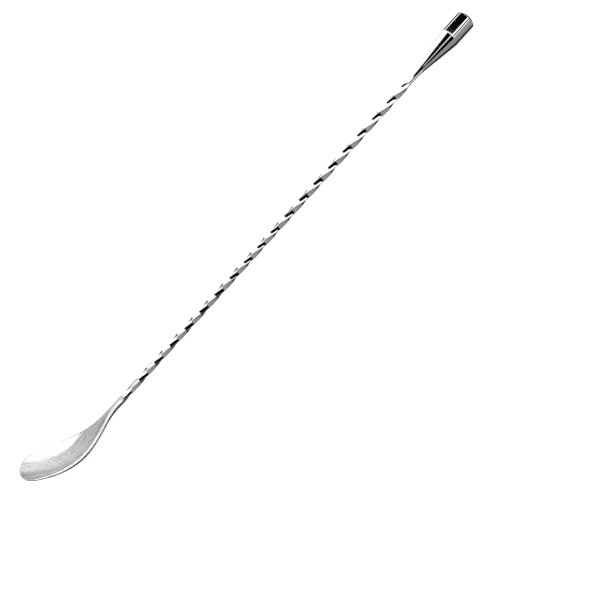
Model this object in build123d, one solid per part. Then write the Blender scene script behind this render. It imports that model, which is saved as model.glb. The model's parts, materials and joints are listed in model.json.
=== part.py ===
"""Bar spoon with a dished bowl, a twisted square stem and a turned, weighted head.

Row frame, in millimetres: +X runs from the bowl's tip to the head, +Z is up, and the spoon
lies on its back with its stem level. The origin is on the surface it lies on, under the middle
of its length. The bowl's belly and the head's underside both touch that surface.
"""
from build123d import *
from math import atan2, comb, cos, hypot, pi, sin, sqrt, tan
import os

# Whole spoon
overall_length = 305.0
tip_x = -overall_length / 2
end_x = overall_length / 2
head_radius = 4.9
axis_height = head_radius

# Bowl and neck, stamped from one blank. The neck meets the stem neck_length from the tip.
neck_length = 57.5
neck_joint_x = tip_x + neck_length
# Bezier control values, evenly spaced from the neck joint to the tip.
rim_width_values = (2.1, 2.1, -5.4, 32.2, 154.0, 223.0, 0.0)  # square of the rim's half width
rim_height_values = (1.45, 1.45, -0.15, -3.8, 13.0, 15.2)  # rim above the stem's axis
bowl_depth_values = (0.0, 0.0, -4.0, 12.64, 3.2, 14.6, 0.0)  # bowl below its rim on the centreline
sheet_values = (2.9, 2.4, 1.0, 1.0, 1.0, 1.0)  # wall, from the square neck to the thin bowl
blank_neck_half_width = 3.5
blank_bowl_half_width = 14.0
blank_full_width_at = 0.75  # share of the neck length, from the neck joint
blank_overhang = 2.0
blank_reach = 40.0
rim_edge_radius = 0.35

# Stem, a square bar twisted cold, right-handed, and turned round where it meets the head
bar_side = 2.9
bar_corner_radius = 0.35
twist_pitch = 41.5
head_joint_x = 112.0
turned_start_x = 105.5
turned_end_x = 110.0
turned_start_radius = 2.1
turned_end_radius = 1.45

# Head, turned from solid bar as a counterweight
cone_start_x = 115.7
shoulder_x = 138.4
dome_height = 1.8
throat_radius = 45.0
shoulder_radius = 12.0
dome_edge_radius = 0.45

# Brazed joints: a spigot on each end of the stem, in a socket with a film of filler
spigot_radius = 0.7
braze_gap = 0.1
socket_radius = spigot_radius + braze_gap
neck_spigot_length = 4.8
head_spigot_length = 9.0
socket_end_gap = 0.2


def bezier(values, s):
    """Value at s, from 0 at the neck joint to 1 at the tip, of a one-dimensional Bezier curve."""
    degree = len(values) - 1
    return sum(comb(degree, i) * s**i * (1 - s) ** (degree - i) * v for i, v in enumerate(values))


def bezier_over_run(values, s):
    """The same curve divided by 1 - s, for a curve whose last value is zero."""
    degree = len(values) - 1
    shares = enumerate(values[:-1])
    return sum(comb(degree, i) * s**i * (1 - s) ** (degree - 1 - i) * v for i, v in shares)


def rim_half_width(s):
    return sqrt(bezier(rim_width_values, s))


def dish_height(s, y):
    """Height of the dish's inner face. Each cross-section is a parabola that ends on the rim."""
    depth_share = bezier_over_run(bowl_depth_values, s)
    curvature = depth_share / bezier_over_run(rim_width_values, s)
    return bezier(rim_height_values, s) - (1 - s) * depth_share + curvature * y * y


def underside_height(s, y):
    """Height of the outer face, one wall thickness away along the surface's normal."""
    step = 0.001
    slope_x = (dish_height(s + step, y) - dish_height(s - step, y)) / (2 * step * neck_length)
    slope_y = (dish_height(s, y + step) - dish_height(s, y - step)) / (2 * step)
    return dish_height(s, y) - bezier(sheet_values, min(s, 1.0)) * hypot(1.0, slope_x, slope_y)


def blank_half_width(s):
    """Half width of the blank before its edge is trimmed to the rim."""
    flare = sin(pi / 2 * min(1.0, s / blank_full_width_at))
    return blank_neck_half_width + (blank_bowl_half_width - blank_neck_half_width) * flare


def blank_face(height_at):
    """Smooth face over the whole blank, for one side of the sheet."""
    rows = 40
    columns = 20
    first_x = tip_x - blank_overhang
    grid = []
    for i in range(rows + 1):
        x = first_x + (neck_joint_x - first_x) * i / rows
        s = (neck_joint_x - x) / neck_length
        ys = [blank_half_width(s) * (2 * j / columns - 1) for j in range(columns + 1)]
        grid.append([(x, y, height_at(s, y)) for y in ys])
    return Face.make_surface_from_array_of_points(grid, min_deg=3, max_deg=3)


def outline_prism():
    """Upright prism on the rim's outline, seen from above."""
    points_per_side = 18
    stations = [1 - (i / points_per_side) ** 2 for i in range(points_per_side + 1)]
    far_side = [(neck_joint_x - neck_length * s, rim_half_width(s)) for s in stations]
    near_side = [(x, -y) for x, y in far_side[1:]]
    rim = Spline(*reversed(far_side), *near_side)
    end = Line(rim @ 1, rim @ 0)
    face = make_face([rim, end])
    return extrude(Pos(0, 0, -blank_reach / 2) * face, blank_reach)


def axial_rod(start_x, length, radius):
    """Round rod on the stem's axis, from start_x towards the head."""
    disc = Plane(origin=(start_x, 0, 0), x_dir=(0, 1, 0), z_dir=(1, 0, 0)) * Circle(radius)
    return extrude(disc, length)


def make_bowl():
    sheet_top = extrude(blank_face(dish_height), blank_reach, dir=(0, 0, 1))
    sheet_bottom = extrude(blank_face(underside_height), blank_reach, dir=(0, 0, 1))
    bowl = (outline_prism() & sheet_bottom) - sheet_top
    bowl = fillet(bowl.edges().sort_by(SortBy.LENGTH)[-2:], rim_edge_radius)
    socket_length = neck_spigot_length + socket_end_gap
    return bowl - axial_rod(neck_joint_x - socket_length, socket_length, socket_radius)


def make_stem():
    """Twisted bar with a turned end, and a spigot at each end."""
    length = head_joint_x - neck_joint_x
    section = RectangleRounded(bar_side, bar_side, bar_corner_radius)
    start = Plane(origin=(neck_joint_x, 0, 0), x_dir=(0, 1, 0), z_dir=(1, 0, 0)) * section
    twisted = Solid.extrude_linear_with_rotation(
        start.face(), (neck_joint_x, 0, 0), (length, 0, 0), 360 * length / twist_pitch
    )
    turned = Polyline(
        (neck_joint_x, 0),
        (neck_joint_x, turned_start_radius),
        (turned_start_x, turned_start_radius),
        (turned_end_x, turned_end_radius),
        (head_joint_x, turned_end_radius),
        (head_joint_x, 0),
        close=True,
    )
    envelope = revolve(Plane.XZ * make_face(turned), Axis.X)
    neck_spigot = axial_rod(neck_joint_x - neck_spigot_length, neck_spigot_length, spigot_radius)
    head_spigot = axial_rod(head_joint_x, head_spigot_length, spigot_radius)
    return (twisted & envelope) + neck_spigot + head_spigot


def make_head():
    """Cone, round body and domed end, with a blind socket in its narrow end."""
    slope = atan2(head_radius - turned_end_radius, shoulder_x - cone_start_x)
    along = Vector(cos(slope), sin(slope))
    throat_run = throat_radius * tan(slope / 2)
    shoulder_run = shoulder_radius * tan(slope / 2)
    neck_start = Vector(head_joint_x, turned_end_radius)
    cone_start = Vector(cone_start_x, turned_end_radius)
    shoulder = Vector(shoulder_x, head_radius)
    body_end = Vector(end_x - dome_height, head_radius)
    straight = Vector(1, 0)
    throat = TangentArc(
        cone_start - straight * throat_run, cone_start + along * throat_run, tangent=straight
    )
    bulge = TangentArc(
        shoulder - along * shoulder_run, shoulder + straight * shoulder_run, tangent=along
    )
    dome_radius = (head_radius**2 + dome_height**2) / (2 * dome_height)
    dome = RadiusArc(body_end, (end_x, 0), dome_radius)
    sides = [Line(neck_start, throat @ 0), throat, Line(throat @ 1, bulge @ 0), bulge]
    sides += [Line(bulge @ 1, body_end), dome]
    ends = Polyline((end_x, 0), (head_joint_x, 0), neck_start)
    head = revolve(Plane.XZ * make_face(sides + [ends]), Axis.X)
    dome_edge = head.edges().filter_by_position(Axis.X, body_end.X - 0.01, body_end.X + 0.01)[0]
    head = fillet(dome_edge, dome_edge_radius)
    return head - axial_rod(head_joint_x, head_spigot_length + socket_end_gap, socket_radius)


def make_braze(socket_x, spigot_x, spigot_length):
    """Filler between a spigot and its socket: a thin sleeve with a closed end."""
    filler_length = spigot_length + socket_end_gap
    filler = axial_rod(socket_x, filler_length, socket_radius)
    return filler - axial_rod(spigot_x, spigot_length, spigot_radius)


nodes = {
    "bowl": make_bowl(),
    "stem": make_stem(),
    "head": make_head(),
    "neck_braze": make_braze(
        neck_joint_x - neck_spigot_length - socket_end_gap,
        neck_joint_x - neck_spigot_length,
        neck_spigot_length,
    ),
    "head_braze": make_braze(head_joint_x, head_joint_x, head_spigot_length),
}

os.makedirs("parts", exist_ok=True)
for name, shape in nodes.items():
    export_step(Pos(0, 0, axis_height) * shape, f"parts/{name}.step")
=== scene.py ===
"""Looks of the bar spoon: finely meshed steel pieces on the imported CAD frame, in a plain pale studio.

Everything is in metres in the row frame: +X from the bowl's tip to the head, +Z up, and the floor at
z = 0. Shapes follow the same driving dimensions as the CAD model, in millimetres, and are placed by
the boxes of the CAD nodes that they replace.
"""

import json
from math import acos, atan2, comb, cos, degrees, pi, radians, sin, sqrt, tan

import bmesh
import bpy
from mathutils import Matrix, Vector


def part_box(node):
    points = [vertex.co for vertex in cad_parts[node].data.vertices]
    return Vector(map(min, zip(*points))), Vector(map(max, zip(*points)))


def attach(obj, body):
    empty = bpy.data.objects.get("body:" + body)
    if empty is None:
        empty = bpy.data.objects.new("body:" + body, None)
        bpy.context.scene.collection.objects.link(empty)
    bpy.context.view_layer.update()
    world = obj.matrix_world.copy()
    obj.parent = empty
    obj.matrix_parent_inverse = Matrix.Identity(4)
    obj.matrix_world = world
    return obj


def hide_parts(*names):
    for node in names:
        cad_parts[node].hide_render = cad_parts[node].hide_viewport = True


MM = 0.001

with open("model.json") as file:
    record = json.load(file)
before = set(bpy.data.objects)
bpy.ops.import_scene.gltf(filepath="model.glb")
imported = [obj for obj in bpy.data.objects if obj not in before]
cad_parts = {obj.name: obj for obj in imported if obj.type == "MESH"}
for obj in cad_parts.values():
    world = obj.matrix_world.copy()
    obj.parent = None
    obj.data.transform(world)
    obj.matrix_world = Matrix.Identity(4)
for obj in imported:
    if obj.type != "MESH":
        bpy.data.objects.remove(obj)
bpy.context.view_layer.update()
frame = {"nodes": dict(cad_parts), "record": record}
record = frame["record"]

# Places taken from the frame, in millimetres
bowl_low, bowl_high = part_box("bowl")
stem_low, stem_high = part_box("stem")
head_low, head_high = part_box("head")
tip_x = bowl_low.x / MM
neck_joint_x = bowl_high.x / MM
head_joint_x = head_low.x / MM
end_x = head_high.x / MM
head_radius = (head_high.y - head_low.y) / 2 / MM
axis_height = (head_low.z + head_high.z) / 2 / MM

# Bowl and neck. Bezier control values are evenly spaced from the neck joint to the tip.
neck_length = neck_joint_x - tip_x
rim_width_values = (2.1, 2.1, -5.4, 32.2, 154.0, 223.0, 0.0)  # square of the rim's half width
rim_height_values = (1.45, 1.45, -0.15, -3.8, 13.0, 15.2)  # rim above the stem's axis
bowl_depth_values = (0.0, 0.0, -4.0, 12.64, 3.2, 14.6, 0.0)  # bowl below its rim on the centreline
sheet_values = (2.9, 2.4, 1.0, 1.0, 1.0, 1.0)  # wall, from the square neck to the thin bowl
rim_top_radius = 0.35  # rolled upper edge of the bowl's rim
rim_under_radius = 0.2
neck_corner_radius = 0.35
neck_blend = 0.2  # share of the neck's length over which the bar's corners become the rim

# Stem
bar_side = 2.9
bar_corner_radius = 0.35
twist_pitch = 41.5
turned_start_x = 105.5
turned_end_x = 110.0
turned_start_radius = 2.1
turned_end_radius = 1.45
# How far the cold twist runs ahead of an even one, in degrees at places along the bar
twist_drift = (
    (-95.0, 24.0),
    (-75.0, 9.0),
    (-52.0, 0.0),
    (-14.0, -11.0),
    (18.0, 5.5),
    (62.0, 5.5),
    (112.0, 0.0),
)

# Head
cone_start_x = 115.7
shoulder_x = 138.4
dome_height = 1.8
throat_radius = 45.0
shoulder_radius = 12.0
dome_edge_radius = 0.45

# Spigots and sockets of the brazed joints
spigot_radius = 0.7
spigot_chamfer = 0.15
socket_radius = 0.8
neck_spigot_length = neck_joint_x - stem_low.x / MM
head_spigot_length = stem_high.x / MM - head_joint_x
socket_end_gap = 0.2


# ---------------------------------------------------------------- meshes


def weld(mesh):
    """Joins points that coincide, such as those of the loop that shuts the bowl's tip."""
    work = bmesh.new()
    work.from_mesh(mesh)
    bmesh.ops.remove_doubles(work, verts=work.verts, dist=0.000001)
    work.to_mesh(mesh)
    work.free()
    mesh.update()


def add_mesh(name, points, faces, sharp_angle=40):
    """A smooth-shaded mesh object from points in millimetres, measured from the stem's axis."""
    mesh = bpy.data.meshes.new(name)
    mesh.from_pydata([(x * MM, y * MM, (z + axis_height) * MM) for x, y, z in points], [], faces)
    weld(mesh)
    mesh.shade_smooth()
    mesh.set_sharp_from_angle(angle=radians(sharp_angle))
    piece = bpy.data.objects.new(name, mesh)
    bpy.context.scene.collection.objects.link(piece)
    return piece


def loft(loops, first_cap, last_cap):
    """Points and outward faces of a skin over closed loops. A cap is a point that closes an end, and
    None leaves an end whose loop is already shut."""
    count = len(loops[0])
    points = [p for loop in loops for p in loop]
    faces = []
    for row in range(len(loops) - 1):
        for k in range(count):
            a = row * count + k
            b = row * count + (k + 1) % count
            faces.append((a, b, b + count, a + count))
    if first_cap is not None:
        points.append(first_cap)
        faces += [(len(points) - 1, (k + 1) % count, k) for k in range(count)]
    base = (len(loops) - 1) * count
    points.append(last_cap)
    faces += [(len(points) - 1, base + k, base + (k + 1) % count) for k in range(count)]
    return points, faces


def circle(x, radius, angles):
    return [(x, radius * cos(a), radius * sin(a)) for a in angles]


# ---------------------------------------------------------------- bowl


def bezier(values, s):
    degree = len(values) - 1
    return sum(comb(degree, i) * s**i * (1 - s) ** (degree - i) * v for i, v in enumerate(values))


def bezier_over_run(values, s):
    """The same curve divided by 1 - s, for a curve whose last value is zero."""
    degree = len(values) - 1
    shares = enumerate(values[:-1])
    return sum(comb(degree, i) * s**i * (1 - s) ** (degree - 1 - i) * v for i, v in shares)


def share_at(x):
    return (neck_joint_x - x) / neck_length


def dish_height(x, y):
    """Height of the dish's inner face above the stem's axis."""
    s = share_at(x)
    depth_share = bezier_over_run(bowl_depth_values, s)
    curvature = depth_share / bezier_over_run(rim_width_values, s)
    return bezier(rim_height_values, s) - (1 - s) * depth_share + curvature * y * y


def dish_normal(x, y):
    step = 0.001
    slope_x = (dish_height(x + step, y) - dish_height(x - step, y)) / (2 * step)
    slope_y = (dish_height(x, y + step) - dish_height(x, y - step)) / (2 * step)
    return Vector((-slope_x, -slope_y, 1.0)).normalized()


def underside_height(x, y, wall):
    """Height of the outer face, one wall thickness away from the inner face."""
    return dish_height(x, y) - wall / dish_normal(x, y).z


def rim_outward(s):
    """Unit vector in plan, square to the rim and away from the bowl, on the +Y side."""
    if s > 0.99999:
        return Vector((-1.0, 0.0, 0.0))
    step = 0.00001
    before = max(s - step, 0.0)
    after = s + step
    rise = sqrt(bezier(rim_width_values, after)) - sqrt(bezier(rim_width_values, before))
    run = neck_length * (after - before)
    return Vector((rise / run, 1.0, 0.0)).normalized()


def corner_radius(full, s):
    """Radius of the sheet's corner: the bar's at the neck joint, and the rim's own along the bowl."""
    return neck_corner_radius + (full - neck_corner_radius) * min(1.0, s / neck_blend)


def rolled(start, normal, end_normal, radius, steps):
    """Points of an arc that leaves a surface at start and turns from one normal to another."""
    centre = start - normal * radius
    across = (end_normal - normal * end_normal.dot(normal)).normalized()
    turn = acos(max(-1.0, min(1.0, normal.dot(end_normal))))
    turns = [turn * k / steps for k in range(steps + 1)]
    return [centre + (normal * cos(a) + across * sin(a)) * radius for a in turns]


def edge_profile(x, y, outward, inset, under_inset, radii, wall, steps):
    """Points round the rim's edge at one side: a rolled top, an upright face and an eased underside."""
    top_plan = Vector((x, y, 0.0)) - outward * inset
    top = Vector((top_plan.x, top_plan.y, dish_height(top_plan.x, top_plan.y)))
    under_plan = Vector((x, y, 0.0)) - outward * under_inset
    under = Vector((under_plan.x, under_plan.y, underside_height(under_plan.x, under_plan.y, wall)))
    upper = rolled(top, dish_normal(top.x, top.y), outward, radii[0], steps)
    lower = rolled(under, -dish_normal(under.x, under.y), outward, radii[1], steps)
    return upper + lower[::-1]


def bowl_section(s, across, edge_steps):
    """Closed loop round the sheet at one station, from the -Y edge under the outer face and back."""
    x = neck_joint_x - neck_length * s
    half = sqrt(max(bezier(rim_width_values, s), 0.0))
    outward = rim_outward(s)
    wall = bezier(sheet_values, s)
    lean = -dish_normal(x, half).dot(outward)
    radii = (corner_radius(rim_top_radius, s), corner_radius(rim_under_radius, s))
    inset = radii[0] * (1 + lean)
    under_inset = radii[1] * (1 - lean)
    inner_half = max(half - inset * outward.y, 0.0)
    under_half = max(half - under_inset * outward.y, 0.0)
    shares = [2 * k / across - 1 for k in range(across + 1)]
    inner_x = x - inset * outward.x
    under_x = x - under_inset * outward.x
    inner = [Vector((inner_x, inner_half * u, dish_height(inner_x, inner_half * u))) for u in shares]
    outer = []
    for u in shares:
        y = under_half * u
        outer.append(Vector((under_x, y, underside_height(under_x, y, wall))))
    right = edge_profile(x, half, outward, inset, under_inset, radii, wall, edge_steps)
    left = [Vector((p.x, -p.y, p.z)) for p in right]
    return left[1:-1] + outer + right[-2:0:-1] + inner[::-1]


def make_bowl():
    """Dished bowl and neck with a rolled rim edge, and a blind socket in the neck's end."""
    rows = 150
    across = 64
    edge_steps = 5
    tip_crowding = 1.9
    loops = []
    for i in range(rows + 1):
        s = 1 - (i / rows) ** tip_crowding
        loops.append([tuple(p) for p in bowl_section(s, across, edge_steps)])
    angles = [atan2(z, y) for _, y, z in loops[-1]]
    socket_end_x = neck_joint_x - neck_spigot_length - socket_end_gap
    loops.append(circle(neck_joint_x, socket_radius, angles))
    loops.append(circle(socket_end_x, socket_radius, angles))
    points, faces = loft(loops, None, (socket_end_x, 0.0, 0.0))
    return add_mesh("bowl_shell", points, faces)


# ---------------------------------------------------------------- stem


def square_radius(angle):
    """Distance from the axis to the rounded square bar's side, at an angle from a side's middle."""
    a = (angle + pi / 4) % (pi / 2) - pi / 4
    half = bar_side / 2
    core = half - bar_corner_radius
    if abs(half * tan(a)) <= core:
        return half / cos(a)
    a = abs(a)
    reach = core * (cos(a) + sin(a))
    return reach + sqrt(reach**2 - 2 * core**2 + bar_corner_radius**2)


def turned_radius(x):
    if x <= turned_start_x:
        return turned_start_radius
    share = min(1.0, (x - turned_start_x) / (turned_end_x - turned_start_x))
    return turned_start_radius + (turned_end_radius - turned_start_radius) * share


def section_angles():
    """Angles round the bar, closer together on its four rounded corners."""
    per_side = 8
    per_corner = 6
    half = bar_side / 2
    core = half - bar_corner_radius
    angles = []
    for quarter in range(4):
        for k in range(per_side):
            angles.append(quarter * pi / 2 + atan2(core * (2 * k / per_side - 1), half))
        for k in range(per_corner):
            turn = pi / 2 * k / per_corner
            y = core + bar_corner_radius * cos(turn)
            z = core + bar_corner_radius * sin(turn)
            angles.append(quarter * pi / 2 + atan2(z, y))
    return angles


def twist_at(x):
    """Turn of the bar's section, in radians: even, with the small drift of a bar twisted cold."""
    drift = twist_drift[-1][1]
    for (x0, d0), (x1, d1) in zip(twist_drift, twist_drift[1:]):
        if x0 <= x <= x1:
            share = (1 - cos(pi * (x - x0) / (x1 - x0))) / 2
            drift = d0 + (d1 - d0) * share
    return 2 * pi * (x - neck_joint_x) / twist_pitch + radians(drift)


def make_stem():
    """Twisted bar, turned down round at the head end, with a spigot on each end."""
    ring_spacing = 0.25
    angles = section_angles()
    rings = round((head_joint_x - neck_joint_x) / ring_spacing)
    loops = []
    for i in range(rings + 1):
        x = neck_joint_x + (head_joint_x - neck_joint_x) * i / rings
        twist = twist_at(x)
        ring = []
        for a in angles:
            radius = min(square_radius(a), turned_radius(x))
            ring.append((x, radius * cos(a + twist), radius * sin(a + twist)))
        loops.append(ring)
    start_end = neck_joint_x - neck_spigot_length
    far_end = head_joint_x + head_spigot_length
    first_angles = [a + twist_at(neck_joint_x) for a in angles]
    last_angles = [a + twist_at(head_joint_x) for a in angles]
    first = [circle(start_end, spigot_radius - spigot_chamfer, first_angles)]
    first.append(circle(start_end + spigot_chamfer, spigot_radius, first_angles))
    first.append(circle(neck_joint_x, spigot_radius, first_angles))
    last = [circle(head_joint_x, spigot_radius, last_angles)]
    last.append(circle(far_end - spigot_chamfer, spigot_radius, last_angles))
    last.append(circle(far_end, spigot_radius - spigot_chamfer, last_angles))
    points, faces = loft(first + loops + last, (start_end, 0.0, 0.0), (far_end, 0.0, 0.0))
    return add_mesh("stem_bar", points, faces, sharp_angle=50)


# ---------------------------------------------------------------- head


def arc(centre, radius, first, last, steps):
    """Points (x, r) on an arc about a centre, from one angle to another in degrees."""
    points = []
    for k in range(steps + 1):
        a = radians(first + (last - first) * k / steps)
        points.append((centre[0] + radius * cos(a), centre[1] + radius * sin(a)))
    return points


def spread(first, last, steps):
    """Evenly spaced points between two points, without the last."""
    run = (last[0] - first[0]) / steps
    rise = (last[1] - first[1]) / steps
    return [(first[0] + run * k, first[1] + rise * k) for k in range(steps)]


def head_profile():
    """Half section of the head from the joint to the domed end."""
    slope = atan2(head_radius - turned_end_radius, shoulder_x - cone_start_x)
    throat_run = throat_radius * tan(slope / 2)
    shoulder_run = shoulder_radius * tan(slope / 2)
    throat_centre = (cone_start_x - throat_run, turned_end_radius + throat_radius)
    throat = arc(throat_centre, throat_radius, -90, -90 + degrees(slope), steps=24)
    shoulder_centre = (shoulder_x + shoulder_run, head_radius - shoulder_radius)
    shoulder = arc(shoulder_centre, shoulder_radius, 90 + degrees(slope), 90, steps=16)
    dome_radius = (head_radius**2 + dome_height**2) / (2 * dome_height)
    dome_centre_x = end_x - dome_radius
    # The rolled edge is an arc that touches the round body and the dome.
    edge_y = head_radius - dome_edge_radius
    edge_x = dome_centre_x + sqrt((dome_radius - dome_edge_radius) ** 2 - edge_y**2)
    meet = atan2(edge_y, edge_x - dome_centre_x)
    edge = arc((edge_x, edge_y), dome_edge_radius, 90, degrees(meet), steps=10)
    # The dome stops just short of the axis, where the cap point closes it.
    dome = arc((dome_centre_x, 0.0), dome_radius, degrees(meet), 1.0, steps=24)
    profile = spread((head_joint_x, turned_end_radius), throat[0], steps=8) + throat
    profile += spread(throat[-1], shoulder[0], steps=60)[1:] + shoulder
    profile += spread(shoulder[-1], edge[0], steps=24)[1:] + edge + dome[1:]
    return profile


def make_head():
    """Turned weight with a domed end and a blind socket in its narrow end."""
    segments = 128
    angles = [2 * pi * k / segments for k in range(segments)]
    socket_end_x = head_joint_x + head_spigot_length + socket_end_gap
    loops = [circle(socket_end_x, socket_radius, angles), circle(head_joint_x, socket_radius, angles)]
    loops += [circle(x, radius, angles) for x, radius in head_profile()]
    points, faces = loft(loops, (socket_end_x, 0.0, 0.0), (end_x, 0.0, 0.0))
    return add_mesh("head_weight", points, faces)


# ---------------------------------------------------------------- materials

# Nearly all of a noise texture's values lie between these
noise_low = 0.3
noise_high = 0.7


def record_colour(slot):
    return next(m["base_color"] for m in record["materials"] if m["slot"] == slot)


def new_material(name):
    material = bpy.data.materials.new(name)
    material.use_nodes = True
    tree = material.node_tree
    tree.nodes.clear()
    output = tree.nodes.new("ShaderNodeOutputMaterial")
    shader = tree.nodes.new("ShaderNodeBsdfPrincipled")
    tree.links.new(shader.outputs["BSDF"], output.inputs["Surface"])
    return material, tree, shader


def stretched_noise(tree, scales, detail):
    """Noise in the piece's own coordinates, with its own scale along each axis."""
    place = tree.nodes.new("ShaderNodeTexCoord")
    mapping = tree.nodes.new("ShaderNodeMapping")
    mapping.inputs["Scale"].default_value = scales
    noise = tree.nodes.new("ShaderNodeTexNoise")
    noise.inputs["Scale"].default_value = 1.0
    noise.inputs["Detail"].default_value = detail
    tree.links.new(place.outputs["Object"], mapping.inputs["Vector"])
    tree.links.new(mapping.outputs["Vector"], noise.inputs["Vector"])
    return noise


def ranged(tree, value, low, high):
    """The value's middle range spread over low to high."""
    node = tree.nodes.new("ShaderNodeMapRange")
    node.inputs["From Min"].default_value = noise_low
    node.inputs["From Max"].default_value = noise_high
    node.inputs["To Min"].default_value = low
    node.inputs["To Max"].default_value = high
    tree.links.new(value, node.inputs["Value"])
    return node.outputs["Result"]


def shaded(tree, value, colour, spread_share):
    """The base colour, darker and lighter by a small share with the value."""
    ramp = tree.nodes.new("ShaderNodeValToRGB")
    ramp.color_ramp.elements[0].position = noise_low
    ramp.color_ramp.elements[1].position = noise_high
    ramp.color_ramp.elements[0].color = [c * (1 - spread_share) for c in colour[:3]] + [1.0]
    ramp.color_ramp.elements[1].color = [min(1.0, c * (1 + spread_share)) for c in colour[:3]] + [1.0]
    tree.links.new(value, ramp.inputs["Fac"])
    return ramp.outputs["Color"]


def bumped(tree, height, strength, distance, under=None):
    bump = tree.nodes.new("ShaderNodeBump")
    bump.inputs["Strength"].default_value = strength
    bump.inputs["Distance"].default_value = distance
    tree.links.new(height, bump.inputs["Height"])
    if under is not None:
        tree.links.new(under, bump.inputs["Normal"])
    return bump.outputs["Normal"]


def steel(name, lines, line_bump, roughness, wave_bump, mottle):
    """Polished stainless steel with fine polishing lines, faint waviness and light smudges.

    lines is the lines' noise scale along each axis, and mottle is how far the tone varies. The bumps
    are heights in metres."""
    material, tree, shader = new_material(name)
    colour = record_colour("polished_steel")
    fine = stretched_noise(tree, lines, detail=6.0)
    smudge = stretched_noise(tree, (60.0, 110.0, 110.0), detail=3.0)
    wave = stretched_noise(tree, (70.0, 160.0, 160.0), detail=1.0)
    shader.inputs["Metallic"].default_value = 1.0
    shader.inputs["IOR"].default_value = 2.5
    mottled = tree.nodes.new("ShaderNodeMix")
    mottled.inputs["Factor"].default_value = 0.75
    tree.links.new(smudge.outputs["Fac"], mottled.inputs["A"])
    tree.links.new(fine.outputs["Fac"], mottled.inputs["B"])
    tone = shaded(tree, mottled.outputs["Result"], colour, mottle)
    tree.links.new(tone, shader.inputs["Base Color"])
    tree.links.new(ranged(tree, fine.outputs["Fac"], *roughness), shader.inputs["Roughness"])
    waves = bumped(tree, wave.outputs["Fac"], 0.5, wave_bump)
    normal = bumped(tree, fine.outputs["Fac"], 0.4, line_bump, under=waves)
    tree.links.new(normal, shader.inputs["Normal"])
    return material


def filler():
    """Silver brazing filler: duller, with a grainy cast surface."""
    material, tree, shader = new_material("braze_filler_metal")
    grain = stretched_noise(tree, (2500.0, 2500.0, 2500.0), detail=4.0)
    shader.inputs["Metallic"].default_value = 1.0
    colour = record_colour("braze_filler")
    tree.links.new(shaded(tree, grain.outputs["Fac"], colour, 0.1), shader.inputs["Base Color"])
    tree.links.new(ranged(tree, grain.outputs["Fac"], 0.3, 0.5), shader.inputs["Roughness"])
    tree.links.new(bumped(tree, grain.outputs["Fac"], 0.5, 0.00003), shader.inputs["Normal"])
    return material


def finish_piece(piece, material):
    piece.data.materials.append(material)
    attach(piece, "root")


bowl = make_bowl()
stem = make_stem()
head = make_head()
satin = steel(
    "satin_steel",
    lines=(130.0, 1600.0, 1600.0),
    line_bump=0.00003,
    roughness=(0.12, 0.24),
    wave_bump=0.000002,
    mottle=0.3,
)
drawn = steel(
    "drawn_steel",
    lines=(700.0, 7000.0, 7000.0),
    line_bump=0.0000005,
    roughness=(0.04, 0.09),
    wave_bump=0.000002,
    mottle=0.04,
)
turned = steel(
    "turned_steel",
    lines=(9000.0, 700.0, 700.0),
    line_bump=0.0000004,
    roughness=(0.03, 0.07),
    wave_bump=0.000001,
    mottle=0.04,
)
finish_piece(bowl, satin)
finish_piece(stem, drawn)
finish_piece(head, turned)
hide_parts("bowl")
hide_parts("stem")
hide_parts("head")
filler_metal = filler()
for node in ("neck_braze", "head_braze"):
    frame["nodes"][node].data.materials.clear()
    frame["nodes"][node].data.materials.append(filler_metal)


# ---------------------------------------------------------------- studio


def flat_material(name, colour, glow=0.0):
    """Plain matt paint or, with a glow, an evenly lit panel."""
    material, tree, shader = new_material(name)
    shader.inputs["Base Color"].default_value = (colour, colour, colour, 1.0)
    shader.inputs["Roughness"].default_value = 0.9
    shader.inputs["Specular IOR Level"].default_value = 0.0
    if glow:
        shader.inputs["Emission Color"].default_value = (1.0, 1.0, 1.0, 1.0)
        shader.inputs["Emission Strength"].default_value = glow
    return material


def graded_material(name, x_ends, glows, z_ends, shares):
    """A panel whose glow changes evenly along X, and is scaled by a share that changes with height."""
    material = flat_material(name, 0.0, glow=1.0)
    tree = material.node_tree
    shader = tree.nodes["Principled BSDF"]
    place = tree.nodes.new("ShaderNodeTexCoord")
    split = tree.nodes.new("ShaderNodeSeparateXYZ")
    product = tree.nodes.new("ShaderNodeMath")
    product.operation = "MULTIPLY"
    tree.links.new(place.outputs["Object"], split.inputs["Vector"])
    for k, (axis, ends, values) in enumerate((("X", x_ends, glows), ("Z", z_ends, shares))):
        grade = tree.nodes.new("ShaderNodeMapRange")
        grade.inputs["From Min"].default_value = ends[0]
        grade.inputs["From Max"].default_value = ends[1]
        grade.inputs["To Min"].default_value = values[0]
        grade.inputs["To Max"].default_value = values[1]
        tree.links.new(split.outputs[axis], grade.inputs["Value"])
        tree.links.new(grade.outputs["Result"], product.inputs[k])
    tree.links.new(product.outputs["Value"], shader.inputs["Emission Strength"])
    return material


def stage_sheet(name, points, faces, material):
    mesh = bpy.data.meshes.new(name)
    mesh.from_pydata(points, [], faces)
    mesh.update()
    sheet = bpy.data.objects.new(name, mesh)
    sheet.data.materials.append(material)
    bpy.context.scene.collection.objects.link(sheet)
    return sheet


def reflect_only(sheet):
    """The sheet shows in the steel's reflections, and the camera looks straight through it."""
    sheet.visible_camera = False
    sheet.visible_diffuse = False
    sheet.visible_shadow = False
    sheet.visible_transmission = False


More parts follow.
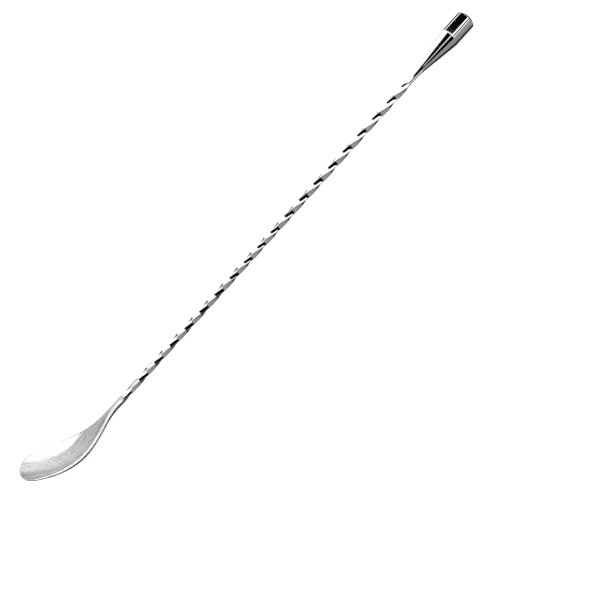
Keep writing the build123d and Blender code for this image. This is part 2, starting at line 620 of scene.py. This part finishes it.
def curved_card(name, radius, stations, material):
    """A sheet bent round the spoon's axis. Each station is (x, first angle, last angle), in degrees
    from the horizon behind the spoon, over the top, to the camera's side."""
    steps = 24
    points = []
    for x, first, last in stations:
        for k in range(steps + 1):
            a = radians(first + (last - first) * k / steps)
            points.append((x, radius * cos(a), radius * sin(a) + axis_height * MM))
    row = steps + 1
    faces = []
    for base in range(0, row * (len(stations) - 1), row):
        faces += [(base + k, base + k + 1, base + k + 1 + row, base + k + row) for k in range(steps)]
    reflect_only(stage_sheet(name, points, faces, material))


def level_sheet(name, x_range, y_range, z, material):
    (x0, x1), (y0, y1) = x_range, y_range
    points = [(x0, y0, z), (x1, y0, z), (x1, y1, z), (x0, y1, z)]
    return stage_sheet(name, points, [(0, 1, 2, 3)], material)


black = flat_material("black_card", 0.001)
dim = flat_material("dim_card", 0.0, glow=0.2)
pale = flat_material("pale_card", 0.0, glow=0.88)
white = flat_material("white_card", 0.0, glow=1.3)
bright = flat_material("bright_card", 0.0, glow=1.8)

# The camera's side of the room, dark, as a tall strip that is wider near the horizon
camera_side_stations = [(-0.85, 97, 182), (0.75, 97, 182), (0.9, 150, 182), (1.7, 170, 182)]
curved_card("camera_side", 4.0, camera_side_stations, black)
# Low behind the spoon, dim
curved_card("back_low", 1.0, [(-0.8, 0, 26), (0.13, 0, 26)], dim)
# Strips close to the head: radius, run along X, angles and material
taper_x_range = (0.1185, 0.144)
shoulder_x_range = (0.146, 0.1665)
body_x_range = (0.1665, 0.26)
head_strips = (
    ("taper_dark_high", 0.025, (0.1235, 0.144), (96, 142), black),
    ("taper_light", 0.025, taper_x_range, (142, 150), white),
    ("taper_dark_low", 0.025, (0.1215, 0.144), (150, 186), black),
    ("head_dark_high", 0.1, body_x_range, (44, 145), black),
    ("head_dark_low", 0.1, body_x_range, (162, 174), black),
    ("shoulder_light", 0.1, shoulder_x_range, (97, 184), white),
    ("head_light_high", 0.1, body_x_range, (145, 162), white),
    ("head_light_low", 0.1, body_x_range, (174, 182), white),
    ("head_dark_back", 0.1, body_x_range, (0, 28), black),
)
for strip, radius, x_range, (first, last), material in head_strips:
    curved_card(strip, radius, [(x, first, last) for x in x_range], material)
# Round the bowl: grey behind and above, darker towards the bench, and bright in front. The edge
# between the two is given as places along X and angles.
bowl_card_radius = 0.06
bowl_edge = ((-0.26, 146), (-0.20, 135), (-0.153, 121), (-0.121, 109), (-0.107, 105), (-0.09, 98))
bowl_light_end = (-0.098, 101, 150)
bowl_light_stations = [(x, a, 165) for x, a in bowl_edge[:5]] + [bowl_light_end]
bowl_shades = graded_material(
    "bowl_shades",
    x_ends=(-0.165, -0.09),
    glows=(0.55, 0.85),
    z_ends=(0.01, 0.045),
    shares=(0.38, 1.0),
)
curved_card("bowl_grey", bowl_card_radius, [(x, -3, a) for x, a in bowl_edge], bowl_shades)
curved_card("bowl_light", bowl_card_radius, bowl_light_stations, bright)
# The room's far end beyond the head, pale grey behind and white in front
wall_edge = ((-0.02, 0.0), (-0.08, 1.06), (-0.23, 1.44), (-0.37, 1.79), (-0.64, 2.27), (-0.82, 2.5))
wall_points = [(2.0, y, z) for y, z in wall_edge] + [(2.0, 6.0, 2.5), (2.0, 6.0, 0.0)]
reflect_only(stage_sheet("end_wall", wall_points, [tuple(range(len(wall_points)))], pale))

# The floor that the camera sees, partly lit from below, and the darker bench that the steel reflects
floor_level = -0.00015
bench_level = -0.00005
rim_light_level = -0.00003
floor_panel = flat_material("floor_panel", 0.45, glow=0.8)
floor_reach = 6.0
floor_range = (-floor_reach, floor_reach)
floor = level_sheet("floor", floor_range, floor_range, floor_level, floor_panel)
floor.visible_glossy = False
bench_paint = flat_material("bench_paint", 0.26)
bench_back_paint = flat_material("bench_back_paint", 0.2)
bench_shade_paint = flat_material("bench_shade_paint", 0.02)
bench_light_paint = flat_material("bench_light_paint", 0.6)
reach = floor_reach  # the bench goes as far as the floor
near_y = 0.03  # half width of the bench's middle strip
behind_y = 0.009
neck_x = -0.118
bar_x = -0.096
throat_x = 0.108
taper_x = 0.1185
cone_x = 0.13
# The spots named _shade that lie under and close beside the spoon are painted shadow: black sheets,
# seen only in the steel's reflections, where the spoon's contact shadow would fall on the bench.
bench_spots = (
    ("bench_front", (-reach, reach), (-reach, -near_y), bench_paint),
    ("bench_near", (bar_x, throat_x), (-near_y, -0.0012), bench_paint),
    ("bench_throat", (throat_x, taper_x), (-near_y, -0.004), bench_light_paint),
    ("bench_head", (taper_x, reach), (-near_y, -0.0055), bench_paint),
    ("bench_bowl_shade", (-reach, neck_x), (-near_y, near_y), bench_shade_paint),
    ("bench_neck_shade", (neck_x, bar_x), (-near_y, near_y), bench_shade_paint),
    ("bench_stem_shade", (bar_x, throat_x), (-0.0012, behind_y), bench_shade_paint),
    ("bench_throat_shade", (throat_x, taper_x), (-0.004, behind_y), bench_shade_paint),
    ("bench_end_shade", (taper_x, reach), (-0.0055, behind_y), bench_shade_paint),
    ("bench_behind", (bar_x, cone_x), (behind_y, near_y), bench_back_paint),
    ("bench_head_shade", (cone_x, reach), (behind_y, near_y), bench_shade_paint),
    ("bench_back", (-reach, cone_x), (near_y, reach), bench_back_paint),
    ("bench_end", (cone_x, reach), (near_y, reach), bench_shade_paint),
)
for spot, x_range, y_range, paint in bench_spots:
    reflect_only(level_sheet(spot, x_range, y_range, bench_level, paint))
# A glowing white strip on the bench, seen only in the steel's reflections, that paints a bright band, a
# painted highlight, on the upper part of the rim's upright face
rim_light_edge = (
    (-0.096, -0.0089),
    (-0.105, -0.0093),
    (-0.118, -0.0130),
    (-0.127, -0.0170),
    (-0.135, -0.0214),
    (-0.143, -0.0272),
    (-0.150, -0.0345),
)
rim_light_outline = rim_light_edge + ((-0.150, -0.045), (-0.096, -0.045))
rim_light_points = [(x, y, rim_light_level) for x, y in rim_light_outline]
reflect_only(stage_sheet("rim_light", rim_light_points, [tuple(range(len(rim_light_points)))], white))

world = bpy.data.worlds.new("studio")
bpy.context.scene.world = world
world.use_nodes = True
background = world.node_tree.nodes["Background"]
background.inputs["Color"].default_value = (1.0, 1.0, 1.0, 1.0)
background.inputs["Strength"].default_value = 1.35

key = bpy.data.lights.new("softbox", "AREA")
key.shape = "RECTANGLE"
key.size = 1.2
key.size_y = 0.8
key.energy = 1.0
key_light = bpy.data.objects.new("softbox", key)
key_light.location = (-0.1, 0.15, 0.9)
key_light.rotation_euler = (radians(-10), 0.0, 0.0)
key_light.visible_glossy = False
bpy.context.scene.collection.objects.link(key_light)


# ---------------------------------------------------------------- camera


def make_camera():
    """Camera on the spoon's -Y side, rolled so that the spoon crosses the view diagonally."""
    elevation = radians(38.0)
    roll = radians(47.88)
    distance = 0.5
    view_width = 0.288  # at the stem's distance
    aim_x = -0.00255
    aim_drop = 0.0313  # the aim is this far below the stem, across the line of sight
    toward = Vector((0.0, -cos(elevation), sin(elevation)))
    across = Vector((0.0, sin(elevation), cos(elevation)))
    along = Vector((1.0, 0.0, 0.0))
    aim = Vector((aim_x, 0.0, axis_height * MM)) - across * aim_drop
    right = along * cos(roll) - across * sin(roll)
    up = along * sin(roll) + across * cos(roll)
    data = bpy.data.cameras.new("camera")
    data.sensor_width = 36.0
    data.lens = data.sensor_width * distance / view_width
    data.clip_start = 0.01
    data.clip_end = 50.0
    camera = bpy.data.objects.new("camera", data)
    turn = Matrix((right, up, toward)).transposed()
    camera.matrix_world = Matrix.Translation(aim + toward * distance) @ turn.to_4x4()
    bpy.context.scene.collection.objects.link(camera)
    bpy.context.scene.camera = camera


make_camera()
bpy.context.scene.view_settings.view_transform = "Standard"
